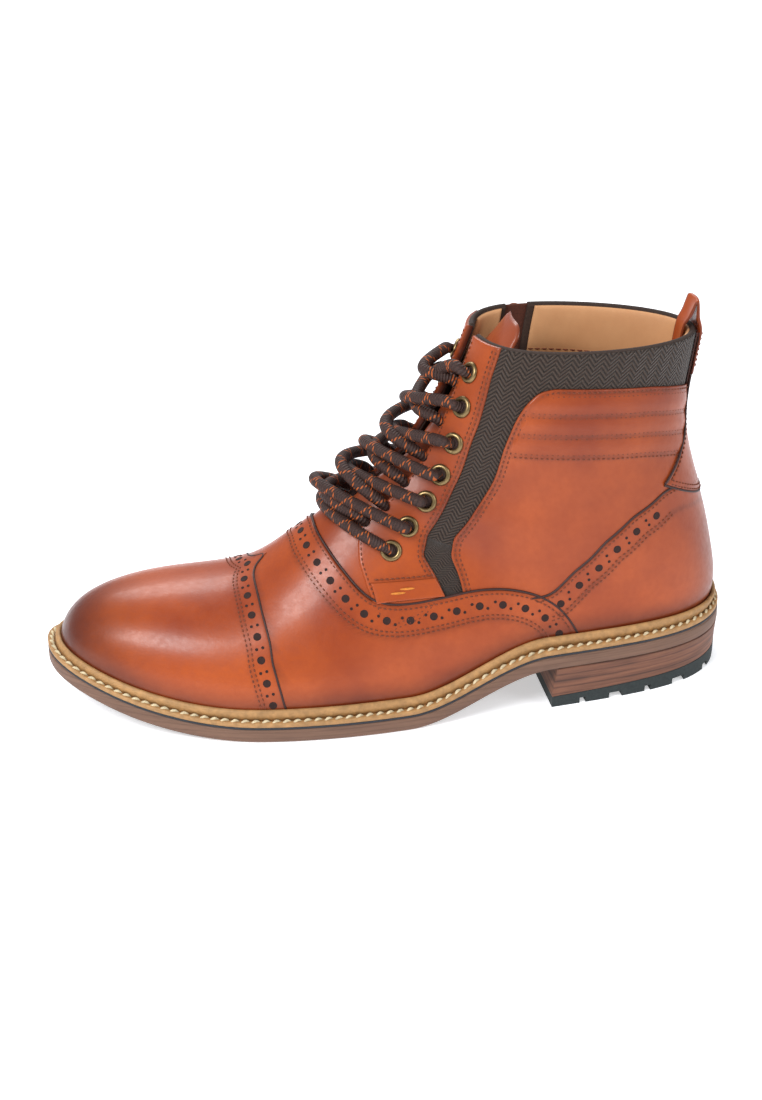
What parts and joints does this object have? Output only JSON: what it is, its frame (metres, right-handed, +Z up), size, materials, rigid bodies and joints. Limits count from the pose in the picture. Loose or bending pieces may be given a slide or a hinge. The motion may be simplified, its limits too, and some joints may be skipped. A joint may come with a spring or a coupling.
{
  "type": "ankle-high cap-toe lace-up boot",
  "caption": "Ankle-high cap-toe lace-up boot with wing vamp, heel counter, cloth collar band, inner side zip with pull tab, welt, stacked heel and lugged heel lift.",
  "frame": {"origin": "on the floor under the middle of the heel lift", "axes": "+X towards the toe, +Y towards the outer side of the foot, +Z up"},
  "size_m": [0.2916, 0.1075, 0.1625],
  "materials": {
    "leather": "glossy cognac leather, burnished darker at toe and heel",
    "tweed": "brown and grey herringbone wool cloth",
    "lining": "tan lining leather",
    "welt": "tan welt leather, waxed",
    "midsole": "dark thin layer",
    "outsole": "brown-grey sole, matte",
    "heel_stack": "brown stacked heel with fine dark layers",
    "heel_rubber": "dark green-grey rubber, matte",
    "zip_tape": "dark woven tape",
    "zip_teeth": "red-brown coil",
    "slider": "dark nickel",
    "eyelet_brass": "antique brass",
    "lace": "round woven dark brown cord with orange flecks"
  },
  "bodies": {
    "boot": {"upper": "leather", "toe_cap": "leather", "vamp": "leather", "counter": "leather", "backstay": "leather", "eyestay_outer": "leather", "eyestay_inner": "leather", "cuff_outer": "tweed", "cuff_strip_inner": "tweed", "cuff_band_inner": "tweed", "pull_loop": "leather", "tongue": "leather", "insole": "lining", "welt": "welt", "midsole": "midsole", "outsole": "outsole", "heel_stack": "heel_stack", "heel_lift": "heel_rubber", "zip_tape": "zip_tape", "zip_teeth": "zip_teeth", "zip_slider": "slider", "eyelet_outer_1": "eyelet_brass", "eyelet_outer_2": "eyelet_brass", "eyelet_outer_3": "eyelet_brass", "eyelet_outer_4": "eyelet_brass", "eyelet_outer_5": "eyelet_brass", "eyelet_outer_6": "eyelet_brass", "eyelet_outer_7": "eyelet_brass", "eyelet_inner_1": "eyelet_brass", "eyelet_inner_2": "eyelet_brass", "eyelet_inner_3": "eyelet_brass", "eyelet_inner_4": "eyelet_brass", "eyelet_inner_5": "eyelet_brass", "eyelet_inner_6": "eyelet_brass", "eyelet_inner_7": "eyelet_brass", "lace_cross_1": "lace", "lace_cross_2": "lace", "lace_cross_3": "lace", "lace_cross_4": "lace", "lace_cross_5": "lace", "lace_cross_6": "lace", "lace_bar": "lace"},
    "zip_pull": {"zip_pull": "eyelet_brass"}
  },
  "joints": [
    {"name": "pull_tab_hinge", "type": "hinge", "parent": "boot", "child": "zip_pull", "pos_m": [0.04644, -0.03686, 0.14526], "axis": [-0.9707, -0.1538, -0.1845], "range_deg": [0, 150]}
  ]
}
